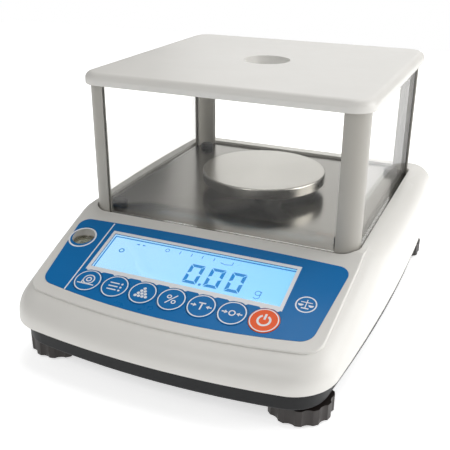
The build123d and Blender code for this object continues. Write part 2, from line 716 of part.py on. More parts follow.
def cell_bracket():
    """The arm from the cell's free end to the hub under the pan."""
    fixed, free = cell_ends()
    foot = block(CELL_W, CELL_END, CELL_TOP, BRACKET_Z, 0, free)
    front = free - CELL_END / 2
    back = SHIELD_Y + BRACKET_W / 2
    arm = block(BRACKET_W, back - front, BRACKET_Z, BRACKET_Z + BRACKET_T, 0, (front + back) / 2)
    arm += foot + rod(HUB_R, BRACKET_Z, HUB_TOP, 0, SHIELD_Y)
    arm -= rod(STEM_R + RUN_FIT, CELL_TOP, BIG, 0, SHIELD_Y)
    for step in (-1, 1):
        arm -= rod(CELL_SCREW_R, 0, BIG, 0, free + step * CELL_END / 4)
    return arm


def cell_screws():
    """Two screws at each end of the load cell."""
    fixed, free = cell_ends()
    group = []
    for end, seat in ((fixed, CELL_TOP), (free, BRACKET_Z + BRACKET_T)):
        low = CELL_Z - CELL_SCREW_GRIP / 2 if end == fixed else CELL_Z
        for step in (-1, 1):
            y = end + step * CELL_END / 4
            head = rod(CELL_SCREW_HEAD_R, seat, seat + CELL_SCREW_HEAD_H, 0, y)
            head -= Pos(0, y, seat + CELL_SCREW_HEAD_H - HEX_DEPTH) * extrude(RegularPolygon(HEX_R, 6), BIG)
            group.append(head + rod(CELL_SCREW_R, low, seat + SHANK_LAP, 0, y))
    return Compound(children=group)


def overload_stop():
    """The stop under the cell's free end."""
    fixed, free = cell_ends()
    floor_z = BASE_Z + BASE_FLOOR
    pillar = rod(STOP_R, floor_z, CELL_Z - STOP_GAP, 0, free)
    return pillar + rod(2 * STOP_R, floor_z, floor_z + STOP_BASE_H, 0, free)


def pan_carrier():
    """The cross-shaped support, with its stem in the hub."""
    low = SPIDER_TOP - SPIDER_T
    cross = rod(SPIDER_HUB_R, low, SPIDER_TOP)
    reach = PAN_R - PAN_T - SPIDER_GAP
    for angle in (45, 135):
        cross += Rot(0, 0, angle) * block(2 * reach, SPIDER_ARM_W, low, SPIDER_TOP)
    cross += rod(COLLAR_R, HUB_TOP + CARRIER_TRAVEL + TRAVEL_SPARE, low)
    cross += rod(STEM_R, BRACKET_Z - CLIP_T - TRAVEL_SPARE, low)
    return Pos(0, SHIELD_Y, 0) * cross


def carrier_clip():
    """The ring that keeps the stem in its hub."""
    top = BRACKET_Z - RUN_FIT
    return rod(CLIP_R, top - CLIP_T, top, 0, SHIELD_Y) - rod(STEM_R, 0, BIG, 0, SHIELD_Y)


def carrier_pads():
    """A soft pad on each arm of the pan's support."""
    reach = PAN_R - PAN_T - SPIDER_GAP - SPIDER_PAD_R
    group = []
    for angle in (45, 135, 225, 315):
        x = reach * cos(radians(angle))
        y = SHIELD_Y + reach * sin(radians(angle))
        group.append(rod(SPIDER_PAD_R, SPIDER_TOP, SPIDER_TOP + SPIDER_PAD_H, x, y))
    return Compound(children=group)


def pan():
    """The weighing pan: a shallow inverted dish."""
    dish = rod(PAN_R, PAN_TOP_Z - PAN_SKIRT, PAN_TOP_Z)
    dish = fillet(dish.edges().sort_by(Axis.Z)[-1], PAN_EDGE_R)
    dish -= rod(PAN_R - PAN_T, 0, PAN_TOP_Z - PAN_T)
    return Pos(0, SHIELD_Y, 0) * dish


def post(side_x, side_y):
    """A corner post of the draft shield, grooved for its two panes."""
    outer = Pos(POST_HALF_W / 2, POST_HALF_D / 2) * Rectangle(POST_HALF_W, POST_HALF_D)
    outer = fillet(outer.vertices().group_by(Axis.X)[-1].sort_by(Axis.Y)[-1], POST_R)
    inner_w = POST_HALF_W - POST_T
    inner_d = POST_HALF_D - POST_T
    inner = Pos(inner_w / 2, inner_d / 2) * Rectangle(inner_w, inner_d)
    inner = fillet(inner.vertices().group_by(Axis.X)[-1].sort_by(Axis.Y)[-1], POST_R - POST_T)
    corner = Pos(POST_HALF_W - POST_LEG / 2, POST_HALF_D - POST_LEG / 2) * Rectangle(POST_LEG, POST_LEG)
    shape = Pos(0, 0, DECK_Z) * extrude((outer - inner) & corner, POST_TOP - DECK_Z)
    wide = PANE_T + PANE_SLACK
    x = POST_HALF_W - POST_LEG + GROOVE_D / 2
    y = POST_HALF_D - POST_LEG + GROOVE_D / 2
    shape -= block(GROOVE_D, wide, 0, BIG, x, POST_HALF_D - PANE_SET - wide / 2)
    shape -= block(wide, GROOVE_D, 0, BIG, POST_HALF_W - PANE_SET - wide / 2, y)
    if side_x < 0:
        shape = mirror(shape, Plane.YZ)
    if side_y < 0:
        shape = mirror(shape, Plane.XZ)
    return Pos(0, SHIELD_Y, 0) * shape


def pane(side):
    """One glass pane of the draft shield."""
    low = DECK_Z + PANE_FOOT
    width = 2 * (POST_HALF_W - POST_LEG + GROOVE_D)
    depth = 2 * (POST_HALF_D - POST_LEG + GROOVE_D)
    far_x = POST_HALF_W - PANE_SET - PANE_T / 2
    far_y = POST_HALF_D - PANE_SET - PANE_T / 2
    places = {
        "front": (width, PANE_T, 0, -far_y),
        "back": (width, PANE_T, 0, far_y),
        "left": (PANE_T, depth, -far_x, 0),
        "right": (PANE_T, depth, far_x, 0),
    }
    wide, deep, x, y = places[side]
    return block(wide, deep, low, POST_TOP, x, SHIELD_Y + y)


def lid():
    """The draft shield's cover, with its finger hole."""
    width = 2 * (POST_HALF_W + LID_OVER)
    depth = 2 * (POST_HALF_D + LID_OVER)
    cover = slab(width, depth, LID_R, LID_Z, LID_TOP)
    cover = fillet(cover.faces().sort_by(Axis.Z)[-1].edges(), LID_EDGE_R)
    cover -= slab(width - 2 * LID_WALL, depth - 2 * LID_WALL, LID_R - LID_WALL, 0, POST_TOP)
    cover += rod(LID_HOLE_R + LID_WALL, LID_Z + OVER, LID_TOP)
    cover -= rod(LID_HOLE_R, 0, BIG)
    return Pos(0, SHIELD_Y, 0) * cover


def foot_pad(x, y):
    """A rubber foot that stands still while its knob turns."""
    disc = rod(FOOT_PAD_R, 0, KNOB_Z - RUN_FIT, x, y)
    return disc + rod(FOOT_SPIGOT_R, 0, KNOB_Z + FOOT_SPIGOT_H, x, y)


def foot_knob(x, y):
    """A scalloped levelling knob."""
    knob = rod(KNOB_R, KNOB_Z, KNOB_TOP)
    for index in range(KNOB_SCALLOPS):
        angle = 2 * pi * index / KNOB_SCALLOPS
        away = KNOB_R - SCALLOP_DEPTH + SCALLOP_R
        knob -= rod(SCALLOP_R, 0, BIG, away * cos(angle), away * sin(angle))
    knob -= rod(FOOT_SPIGOT_R + RUN_FIT, 0, KNOB_Z + FOOT_SPIGOT_H + SPIGOT_END_GAP)
    return Pos(x, y, 0) * knob


def foot_stud(x, y):
    """The threaded stud of a levelling foot."""
    stud = rod(STUD_R, KNOB_TOP, STUD_TOP, x, y)
    return chamfer(stud.edges().sort_by(Axis.Z)[-1], STUD_R / 4)


def main_board():
    """The main circuit board beside the load cell."""
    x1 = CASE_W / 2 - MAIN_SIDE
    depth = 2 * (REAR_Y - MAIN_Y)
    board = block(x1 - MAIN_INNER, depth, MAIN_Z, MAIN_Z + MAIN_T, (x1 + MAIN_INNER) / 2, 0)
    for x, y in standoff_places():
        board -= rod(SCREW_R, 0, BIG, x, y)
    return board


def board_screws():
    """The main board's screws."""
    top = MAIN_Z + MAIN_T
    group = []
    for x, y in standoff_places():
        head = rod(SCREW_HEAD_R, top, top + SCREW_HEAD_H, x, y)
        group.append(head + rod(SCREW_R, BASE_Z + BASE_FLOOR, top + SHANK_LAP, x, y))
    return Compound(children=group)


def housing_screws():
    """The screws that join the two housings, from below."""
    group = []
    for x, y in screw_places():
        seat = BASE_Z + SCREW_HEAD_H + SCREW_RECESS
        head = rod(SCREW_HEAD_R, seat - SCREW_HEAD_H, seat, x, y)
        group.append(head + rod(SCREW_R, seat - SHANK_LAP, split_z(y) + LIP_H + SCREW_GRIP - OVER, x, y))
    return Compound(children=group)


def dc_socket():
    """The power inlet, with its centre pin."""
    half = DC_BODY / 2
    face_y = REAR_Y - PORT_INSET
    back_y = face_y - DC_DEPTH - DC_BACK
    body = block(DC_BODY, face_y - back_y, PORT_Z - half, PORT_Z + half, DC_X, (face_y + back_y) / 2)
    wide = DC_BODY + 2 * PORT_FLANGE
    flange_y = FLANGE_Y - PORT_FLANGE_T / 2
    body += block(wide, PORT_FLANGE_T, PORT_Z - wide / 2, PORT_Z + wide / 2, DC_X, flange_y)
    body -= lying_rod(DC_R, face_y - DC_DEPTH, REAR_Y, DC_X)
    return body + lying_rod(DC_PIN_R, face_y - DC_DEPTH - PIN_ROOT, face_y - PIN_SHORT, DC_X)


def serial_socket():
    """The data socket: a shell with a pin core behind a flange."""
    face_y = REAR_Y - PORT_INSET
    back_y = face_y - SERIAL_CORE_DEPTH - DC_BACK
    half = SERIAL_H / 2
    mid_y = (face_y + back_y) / 2
    body = block(SERIAL_W, face_y - back_y, PORT_Z - half, PORT_Z + half, SERIAL_X, mid_y)
    low = PORT_Z - half - PORT_FLANGE
    flange_w = JACK_PITCH + 4 * PORT_FLANGE
    body += block(flange_w, PORT_FLANGE_T, low, 2 * PORT_Z - low, SERIAL_X, FLANGE_Y - PORT_FLANGE_T / 2)
    inner = half - SERIAL_SHELL_T
    inner_w = SERIAL_W - 2 * SERIAL_SHELL_T
    body -= block(inner_w, 2 * SERIAL_DEPTH, PORT_Z - inner, PORT_Z + inner, SERIAL_X, face_y)
    for row, count in ((1, 5), (-1, 4)):
        for index in range(count):
            x = SERIAL_X + (index - (count - 1) / 2) * SERIAL_PITCH
            pin = lying_rod(SERIAL_PIN_R, face_y - SERIAL_DEPTH - PIN_ROOT, face_y - PIN_SHORT, x)
            body += Pos(0, 0, row * SERIAL_ROW) * pin
    return body


def serial_jacks():
    """The two threaded posts beside the data socket."""
    group = []
    for side in (-1, 1):
        x = SERIAL_X + side * JACK_PITCH / 2
        post_shape = lying_rod(JACK_R, FLANGE_Y, REAR_Y - PORT_INSET + JACK_PROUD, x)
        group.append(post_shape - lying_rod(JACK_HOLE_R, FLANGE_Y + OVER, REAR_Y + OVER, x))
    return Compound(children=group)


def all_nodes():
    """Every node of the part, by name."""
    nodes = {
        "upper_housing": upper_housing(),
        "lower_housing": lower_housing(),
        "overlay": overlay(),
        "lcd_window": lcd_window(),
        "lcd_glass": lcd_glass(),
        "backlight": backlight(),
        "lcd_frame": lcd_frame(),
        "display_board": display_board(),
        "display_screws": display_screws(),
        "key_switches": key_switches(),
        "level_cup": level_cup(),
        "level_lens": level_lens(),
        "level_bubble": level_bubble(),
        "deck_plate": deck_plate(),
        "deck_gasket": deck_gasket(),
        "deck_buffers": deck_buffers(),
        "load_cell": load_cell(),
        "cell_mount": cell_mount(),
        "cell_bracket": cell_bracket(),
        "cell_screws": cell_screws(),
        "overload_stop": overload_stop(),
        "main_board": main_board(),
        "board_screws": board_screws(),
        "housing_screws": housing_screws(),
        "dc_socket": dc_socket(),
        "serial_socket": serial_socket(),
        "serial_jacks": serial_jacks(),
        "pan_carrier": pan_carrier(),
        "carrier_clip": carrier_clip(),
        "carrier_pads": carrier_pads(),
        "pan": pan(),
        "lid": lid(),
    }
    for index, name in enumerate(KEY_NAMES):
        nodes["key_" + name] = key(index)
    for name, side_x, side_y in (
        ("front_left", -1, -1), ("front_right", 1, -1), ("back_left", -1, 1), ("back_right", 1, 1)
    ):
        nodes["post_" + name] = post(side_x, side_y)
    for side in ("front", "back", "left", "right"):
        nodes["pane_" + side] = pane(side)
    for name, (x, y) in FEET.items():
        nodes["foot_pad_" + name] = foot_pad(x, y)
        nodes["foot_knob_" + name] = foot_knob(x, y)
        nodes["foot_stud_" + name] = foot_stud(x, y)
    return nodes


os.makedirs("parts", exist_ok=True)
for node_name, node_shape in all_nodes().items():
    export_step(node_shape, "parts/" + node_name + ".step")
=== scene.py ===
"""Visual model of a toploading laboratory balance with a glazed draft shield."""
from __future__ import annotations

import json
import logging
import math
from dataclasses import dataclass, field
from enum import Enum

import bmesh
import bpy
from mathutils import Matrix, Vector

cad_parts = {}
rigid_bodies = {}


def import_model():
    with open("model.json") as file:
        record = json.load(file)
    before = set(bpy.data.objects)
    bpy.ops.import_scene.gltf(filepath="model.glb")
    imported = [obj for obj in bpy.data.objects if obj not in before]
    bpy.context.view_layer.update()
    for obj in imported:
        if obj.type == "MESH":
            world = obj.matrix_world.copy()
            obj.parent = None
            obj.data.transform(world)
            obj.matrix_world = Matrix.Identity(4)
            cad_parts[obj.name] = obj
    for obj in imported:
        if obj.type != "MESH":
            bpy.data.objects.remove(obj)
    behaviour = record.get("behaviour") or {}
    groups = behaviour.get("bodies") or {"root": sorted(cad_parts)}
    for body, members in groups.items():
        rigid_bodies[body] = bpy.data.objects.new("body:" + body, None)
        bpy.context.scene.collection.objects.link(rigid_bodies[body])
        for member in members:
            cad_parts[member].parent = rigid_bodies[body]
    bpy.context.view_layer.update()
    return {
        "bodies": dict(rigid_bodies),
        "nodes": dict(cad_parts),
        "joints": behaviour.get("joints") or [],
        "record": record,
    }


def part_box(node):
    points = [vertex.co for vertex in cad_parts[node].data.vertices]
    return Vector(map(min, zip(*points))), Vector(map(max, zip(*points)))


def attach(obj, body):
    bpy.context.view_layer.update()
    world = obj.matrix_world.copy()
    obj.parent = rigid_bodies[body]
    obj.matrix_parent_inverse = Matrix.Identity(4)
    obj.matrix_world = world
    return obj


LOG = logging.getLogger("balance")
MM = 0.001
MOTTLE_SCALE = 22.0       # slow mottling of moulded parts
SMUDGE_SCALE = 45.0       # smudges on plastic
GLASS_SMUDGE_SCALE = 60.0
SMUDGE_SPREAD = 0.05      # roughness either side of the finish's own
MOULD_BUMP = 0.35
BRUSH_BUMP = 0.3
SHARP_EDGE = 0.6          # radians, from which an edge is bevelled
LCD_HALF = 0.062          # half of the display's width, in metres
Colour = tuple[float, float, float]
Outline = list[tuple[float, float]]


class Key(Enum):
    """The seven keys, from left to right."""

    PRINT = "print"
    MODE = "mode"
    COUNT = "count"
    PERCENT = "percent"
    TARE = "tare"
    ZERO = "zero"
    POWER = "power"


# ---- shared shader effects ----


def socket(group: bpy.types.NodeTree, name: str, output: bool, kind: str, value: float | None = None) -> None:
    """Adds a socket to a node group.

    Args:
        group: The group to add to.
        name: The socket's name.
        output: True for an output.
        kind: Float, Color or Vector.
        value: An input's default value.
    """
    side = "OUTPUT" if output else "INPUT"
    made = group.interface.new_socket(name=name, in_out=side, socket_type="NodeSocket" + kind)
    if value is not None:
        made.default_value = value


class Effects:
    """Node groups that several finishes share, each built once."""

    def __init__(self) -> None:
        """Builds the groups."""
        self.grain = self._grain()
        self.brushed = self._brushed()
        self.wear = self._wear()

    @staticmethod
    def _start(name: str) -> tuple[bpy.types.NodeTree, bpy.types.Node, bpy.types.Node]:
        """Starts an empty group.

        Args:
            name: The group's name.

        Returns:
            The group, and its input and output nodes.
        """
        group = bpy.data.node_groups.new(name, "ShaderNodeTree")
        return group, group.nodes.new("NodeGroupInput"), group.nodes.new("NodeGroupOutput")

    def _grain(self) -> bpy.types.NodeTree:
        """Moulded grain: a fine height, and a slow mottling mask.

        Returns:
            The node group.
        """
        group, start, end = self._start("moulded_grain")
        socket(group, "Fine", False, "Float", 2500.0)
        socket(group, "Slow", False, "Float", 18.0)
        socket(group, "Height", True, "Float")
        socket(group, "Mottle", True, "Float")
        place = group.nodes.new("ShaderNodeTexCoord")
        for label, out in (("Fine", "Height"), ("Slow", "Mottle")):
            noise = group.nodes.new("ShaderNodeTexNoise")
            noise.inputs["Detail"].default_value = 3.0
            group.links.new(place.outputs["Object"], noise.inputs["Vector"])
            group.links.new(start.outputs[label], noise.inputs["Scale"])
            group.links.new(noise.outputs["Fac"], end.inputs[out])
        return group

    def _brushed(self) -> bpy.types.NodeTree:
        """Brushing lines along X: a height and a streak mask.

        Returns:
            The node group.
        """
        group, start, end = self._start("brushed_lines")
        socket(group, "Scale", False, "Float", 900.0)
        socket(group, "Stretch", False, "Float", 60.0)
        socket(group, "Height", True, "Float")
        socket(group, "Streaks", True, "Float")
        place = group.nodes.new("ShaderNodeTexCoord")
        split = group.nodes.new("ShaderNodeSeparateXYZ")
        squeeze = group.nodes.new("ShaderNodeMath")
        squeeze.operation = "DIVIDE"
        join = group.nodes.new("ShaderNodeCombineXYZ")
        group.links.new(place.outputs["Object"], split.inputs["Vector"])
        group.links.new(split.outputs["X"], squeeze.inputs[0])
        group.links.new(start.outputs["Stretch"], squeeze.inputs[1])
        group.links.new(squeeze.outputs["Value"], join.inputs["X"])
        group.links.new(split.outputs["Y"], join.inputs["Y"])
        group.links.new(split.outputs["Z"], join.inputs["Z"])
        noise = group.nodes.new("ShaderNodeTexNoise")
        noise.inputs["Detail"].default_value = 4.0
        group.links.new(join.outputs["Vector"], noise.inputs["Vector"])
        group.links.new(start.outputs["Scale"], noise.inputs["Scale"])
        group.links.new(noise.outputs["Fac"], end.inputs["Height"])
        group.links.new(noise.outputs["Fac"], end.inputs["Streaks"])
        return group

    def _wear(self) -> bpy.types.NodeTree:
        """Faint smudges and dust, as a mask.

        Returns:
            The node group.
        """
        group, start, end = self._start("smudges")
        socket(group, "Scale", False, "Float", 30.0)
        socket(group, "Amount", False, "Float", 0.5)
        socket(group, "Mask", True, "Float")
        place = group.nodes.new("ShaderNodeTexCoord")
        noise = group.nodes.new("ShaderNodeTexNoise")
        noise.inputs["Detail"].default_value = 6.0
        noise.inputs["Roughness"].default_value = 0.65
        scale = group.nodes.new("ShaderNodeMath")
        scale.operation = "MULTIPLY"
        group.links.new(place.outputs["Object"], noise.inputs["Vector"])
        group.links.new(start.outputs["Scale"], noise.inputs["Scale"])
        group.links.new(noise.outputs["Fac"], scale.inputs[0])
        group.links.new(start.outputs["Amount"], scale.inputs[1])
        group.links.new(scale.outputs["Value"], end.inputs["Mask"])
        return group


# ---- finishes ----


class Sheet:
    """A material being made: its tree, its Principled shader and short ways to wire them."""

    def __init__(self, name: str) -> None:
        """Starts a material.

        Args:
            name: The material's name.
        """
        self.material = bpy.data.materials.new(name)
        self.material.use_nodes = True
        self.tree = self.material.node_tree
        self.shader = self.tree.nodes["Principled BSDF"]

    def group(self, tree: bpy.types.NodeTree, **values: float) -> bpy.types.Node:
        """Places a node group.

        Args:
            tree: The group.
            **values: Its inputs by name.

        Returns:
            The placed node.
        """
        node = self.tree.nodes.new("ShaderNodeGroup")
        node.node_tree = tree
        for name, value in values.items():
            node.inputs[name].default_value = value
        return node

    def set(self, **values: float | tuple[float, ...]) -> None:
        """Sets the shader's sockets.

        Args:
            **values: Values by socket name, with underscores for spaces.
        """
        for name, value in values.items():
            self.shader.inputs[name.replace("_", " ")].default_value = value

    def ramp(self, source: bpy.types.NodeSocket, low: Colour, high: Colour, target: str) -> None:
        """Blends two colours by a mask into a shader socket.

        Args:
            source: The mask.
            low: The colour at 0.35.
            high: The colour at 0.65.
            target: The shader socket.
        """
        ramp = self.tree.nodes.new("ShaderNodeValToRGB")
        ramp.color_ramp.elements[0].position = 0.35
        ramp.color_ramp.elements[1].position = 0.65
        ramp.color_ramp.elements[0].color = (*low, 1.0)
        ramp.color_ramp.elements[1].color = (*high, 1.0)
        self.tree.links.new(source, ramp.inputs["Fac"])
        self.tree.links.new(ramp.outputs["Color"], self.shader.inputs[target])

    def span(self, source: bpy.types.NodeSocket, low: float, high: float, target: str) -> None:
        """Maps a mask onto a range of a shader socket.

        Args:
            source: The mask.
            low: The value at 0.3.
            high: The value at 0.7.
            target: The shader socket.
        """
        spread = self.tree.nodes.new("ShaderNodeMapRange")
        spread.inputs["From Min"].default_value = 0.3
        spread.inputs["From Max"].default_value = 0.7
        spread.inputs["To Min"].default_value = low
        spread.inputs["To Max"].default_value = high
        self.tree.links.new(source, spread.inputs["Value"])
        self.tree.links.new(spread.outputs["Result"], self.shader.inputs[target])

    def bump(self, height: bpy.types.NodeSocket, strength: float, distance: float) -> None:
        """Feeds a height to the shader's normal.

        Args:
            height: The height.
            strength: The bump's strength.
            distance: Its depth in metres.
        """
        bump = self.tree.nodes.new("ShaderNodeBump")
        bump.inputs["Strength"].default_value = strength
        bump.inputs["Distance"].default_value = distance
        self.tree.links.new(height, bump.inputs["Height"])
        self.tree.links.new(bump.outputs["Normal"], self.shader.inputs["Normal"])


def lighter(colour: Colour, by: float) -> Colour:
    """Scales a colour, up to white.

    Args:
        colour: The colour.
        by: The factor.

    Returns:
        The scaled colour.
    """
    return tuple(min(1.0, part * by) for part in colour)


@dataclass(frozen=True)
class Plastic:
    """Moulded or printed plastic, or rubber."""

    name: str
    colour: Colour
    rough: float = 0.45
    grain: float = 2500.0
    depth: float = 0.00002
    mottle: float = 0.04
    coat: float = 0.0
    sheen: float = 0.0
    specular: float = 0.5

    def build(self, effects: Effects) -> bpy.types.Material:
        """Makes the material.

        Args:
            effects: The shared groups.

        Returns:
            The material.
        """
        sheet = Sheet(self.name)
        grain = sheet.group(effects.grain, Fine=self.grain, Slow=MOTTLE_SCALE)
        sheet.ramp(grain.outputs["Mottle"], lighter(self.colour, 1 - self.mottle),
                   lighter(self.colour, 1 + self.mottle), "Base Color")
        smudge = sheet.group(effects.wear, Scale=SMUDGE_SCALE, Amount=1.0)
        low, high = self.rough - SMUDGE_SPREAD, self.rough + SMUDGE_SPREAD
        sheet.span(smudge.outputs["Mask"], low, high, "Roughness")
        sheet.bump(grain.outputs["Height"], MOULD_BUMP, self.depth)
        sheet.set(Coat_Weight=self.coat, Coat_Roughness=0.15, Sheen_Weight=self.sheen,
                  Specular_IOR_Level=self.specular)
        return sheet.material


@dataclass(frozen=True)
class Metal:
    """Brushed, milled or plated metal."""

    name: str
    colour: Colour
    rough: float = 0.28
    scale: float = 900.0
    stretch: float = 60.0
    depth: float = 0.00001
    streak: float = 0.08
    anisotropic: float = 0.0

    def build(self, effects: Effects) -> bpy.types.Material:
        """Makes the material.

        Args:
            effects: The shared groups.

        Returns:
            The material.
        """
        sheet = Sheet(self.name)
        lines = sheet.group(effects.brushed, Scale=self.scale, Stretch=self.stretch)
        sheet.ramp(lines.outputs["Streaks"], lighter(self.colour, 1 - self.streak),
                   lighter(self.colour, 1 + self.streak), "Base Color")
        sheet.span(lines.outputs["Streaks"], self.rough * 0.8, self.rough * 1.25, "Roughness")
        sheet.bump(lines.outputs["Height"], BRUSH_BUMP, self.depth)
        sheet.set(Metallic=1.0, Anisotropic=self.anisotropic)
        return sheet.material


@dataclass(frozen=True)
class ThinGlass:
    """Clear panes: see-through, with a reflection that grows at a low angle."""

    name: str
    tint: Colour
    gloss: float = 1.0
    rough: float = 0.02

    def build(self, effects: Effects) -> bpy.types.Material:
        """Makes the material.

        Args:
            effects: The shared groups.

        Returns:
            The material.
        """
        sheet = Sheet(self.name)
        tree = sheet.tree
        clear = tree.nodes.new("ShaderNodeBsdfTransparent")
        clear.inputs["Color"].default_value = (*self.tint, 1.0)
        mirror = sheet.shader
        sheet.set(Metallic=1.0, Roughness=self.rough, Base_Color=(1.0, 1.0, 1.0, 1.0))
        smudge = sheet.group(effects.wear, Scale=GLASS_SMUDGE_SCALE, Amount=1.0)
        sheet.span(smudge.outputs["Mask"], self.rough, self.rough + 0.03, "Roughness")
        fresnel = tree.nodes.new("ShaderNodeFresnel")
        fresnel.inputs["IOR"].default_value = 1.5
        strength = tree.nodes.new("ShaderNodeMath")
        strength.operation = "MULTIPLY"
        strength.inputs[1].default_value = self.gloss
        mix = tree.nodes.new("ShaderNodeMixShader")
        tree.links.new(fresnel.outputs["Fac"], strength.inputs[0])
        tree.links.new(strength.outputs["Value"], mix.inputs["Fac"])
        tree.links.new(clear.outputs["BSDF"], mix.inputs[1])
        tree.links.new(mirror.outputs["BSDF"], mix.inputs[2])
        tree.links.new(mix.outputs["Shader"], tree.nodes["Material Output"].inputs["Surface"])
        return sheet.material


@dataclass(frozen=True)
class LitDisplay:
    """The lit display: brighter at its left end, with a faint cell texture."""

    name: str
    dim: Colour
    bright: Colour
    half_width: float
    power: float = 1.0

    def build(self, effects: Effects) -> bpy.types.Material:
        """Makes the material.

        Args:
            effects: The shared groups.

        Returns:
            The material.
        """
        sheet = Sheet(self.name)
        tree = sheet.tree
        place = tree.nodes.new("ShaderNodeTexCoord")
        split = tree.nodes.new("ShaderNodeSeparateXYZ")
        across = tree.nodes.new("ShaderNodeMapRange")
        across.inputs["From Min"].default_value = -self.half_width
        across.inputs["From Max"].default_value = self.half_width
        tree.links.new(place.outputs["Object"], split.inputs["Vector"])
        tree.links.new(split.outputs["X"], across.inputs["Value"])
        ramp = tree.nodes.new("ShaderNodeValToRGB")
        ramp.color_ramp.elements[0].color = (*self.bright, 1.0)
        ramp.color_ramp.elements[1].color = (*self.dim, 1.0)
        tree.links.new(across.outputs["Result"], ramp.inputs["Fac"])
        tree.links.new(ramp.outputs["Color"], sheet.shader.inputs["Emission Color"])
        grain = sheet.group(effects.grain, Fine=1500.0, Slow=30.0)
        sheet.bump(grain.outputs["Height"], 0.1, 0.00001)
        sheet.set(Base_Color=(*lighter(self.dim, 0.3), 1.0), Emission_Strength=self.power, Roughness=0.3)
        return sheet.material


class Palette:
    """All finishes of the balance, built once."""

    def __init__(self) -> None:
        """Builds every finish."""
        effects = Effects()
        blue = (0.0, 0.15, 0.42)
        steel = (0.58, 0.57, 0.55)
        finishes = [
            Plastic("casing_white", (0.70, 0.685, 0.65), 0.42, 1800.0, 0.00003, 0.012),
            Plastic("shield_white", (0.67, 0.655, 0.62), 0.40, 1800.0, 0.00002, 0.012),
            # A darker copy of the shield's white for the posts: painted shade for the lid's shadow on them.
            Plastic("post_painted_shade_white", (0.36, 0.345, 0.31), 0.38, 1800.0, 0.00002, 0.012),
            Plastic("base_charcoal", (0.009, 0.0095, 0.0105), 0.5, 1800.0, 0.00005, 0.1, specular=0.25),
            Plastic("knob_brown", (0.019, 0.014, 0.012), 0.42, 900.0, 0.00005, 0.15),
            Plastic("overlay_blue", blue, 0.32, 3000.0, 0.00002, 0.03, specular=0.3),
            Plastic("key_blue", blue, 0.34, 3000.0, 0.00002, 0.03, specular=0.3),
            Plastic("key_orange", (0.86, 0.11, 0.02), 0.34, 3000.0, 0.00002, 0.03, specular=0.3),
            Plastic("print_white", (0.80, 0.81, 0.83), 0.4, 3000.0, 0.00001, 0.02),
            LitDisplay("segment_blue", (0.0, 0.2, 0.56), (0.0, 0.24, 0.62), LCD_HALF, 0.95),
            Plastic("frame_black", (0.012, 0.012, 0.013), 0.5, 1500.0, 0.00004, 0.1),
            Plastic("seal_black", (0.02, 0.019, 0.018), 0.6, 1200.0, 0.00004, 0.1),
            Plastic("rubber_black", (0.012, 0.012, 0.012), 0.62, 1200.0, 0.00006, 0.2, sheen=0.1),
            Plastic("board_green", (0.012, 0.11, 0.035), 0.35, 900.0, 0.00003, 0.15, coat=0.4),
            Plastic("chip_black", (0.015, 0.015, 0.016), 0.45, 2500.0, 0.00004, 0.2),
            Plastic("level_liquid", (0.5, 0.49, 0.37), 0.1, 500.0, 0.00001, 0.05, coat=0.6),
            Metal("screw_steel", steel, 0.3, 1500.0, 3.0),
            Metal("port_metal", steel, 0.35, 1500.0, 3.0),
            Metal("level_metal", (0.66, 0.62, 0.56), 0.16, 500.0, 2.0),
            Metal("cell_aluminium", (0.74, 0.75, 0.76), 0.34, 1200.0, 40.0),
            Metal("brushed_deck", (0.27, 0.26, 0.24), 0.2, 1400.0, 70.0, 0.000005, 0.05, 0.5),
            Metal("pan_steel", (0.47, 0.455, 0.425), 0.22, 1400.0, 70.0, 0.000005, 0.06, 0.5),
            Metal("gold_contact", (0.83, 0.6, 0.2), 0.3, 1200.0, 5.0),
            ThinGlass("pane_glass", (0.99, 0.99, 0.985), 0.3),
            ThinGlass("window_clear", (0.98, 0.99, 1.0), 0.1),
            ThinGlass("bubble_clear", (0.95, 0.97, 0.9), 0.5),
            LitDisplay("lcd_blue", (0.27, 0.68, 0.98), (0.50, 0.80, 1.0), LCD_HALF, 0.92),
            LitDisplay("backlight_white", (0.8, 0.9, 1.0), (0.9, 0.97, 1.0), LCD_HALF, 0.6),
        ]
        self.made = {finish.name: finish.build(effects) for finish in finishes}

    def dress(self, piece: bpy.types.Object, name: str) -> None:
        """Gives a piece one finish.

        Args:
            piece: The piece.
            name: The finish's name.
        """
        piece.data.materials.clear()
        piece.data.materials.append(self.made[name])


# ---- modelling helpers ----


def arc(cx: float, cy: float, radius: float, start: float, end: float, steps: int = 24) -> Outline:
    """Points along an arc.

    Args:
        cx: Centre.
        cy: Centre.
        radius: Radius.
        start: First angle in degrees.
        end: Last angle in degrees.
        steps: Straight runs.

    Returns:
        The points, both ends included.
    """
    turn = [math.radians(start + (end - start) * i / steps) for i in range(steps + 1)]
    return [(cx + radius * math.cos(a), cy + radius * math.sin(a)) for a in turn]


def rectangle(x0: float, y0: float, x1: float, y1: float) -> Outline:
    """A rectangle's corners.

    Args:
        x0: Left side.
        y0: Lower side.
        x1: Right side.
        y1: Upper side.

    Returns:
        The corners, turning left.
    """
    return [(x0, y0), (x1, y0), (x1, y1), (x0, y1)]


def stroke(points: Outline, width: float) -> list[Outline]:
    """Each run of a line as a thin rectangle that laps its neighbours.

    Args:
        points: The line's points.
        width: Its width.

    Returns:
        One outline for each run.
    """
    lap = 0.3
    runs = []
    for (ax, ay), (bx, by) in zip(points, points[1:]):
        along = Vector((bx - ax, by - ay)).normalized()
        side = Vector((-along.y, along.x)) * width / 2
        tip = along * width * lap
        a, b = Vector((ax, ay)) - tip, Vector((bx, by)) + tip
        runs.append([tuple(a + side), tuple(a - side), tuple(b - side), tuple(b + side)])
    return runs


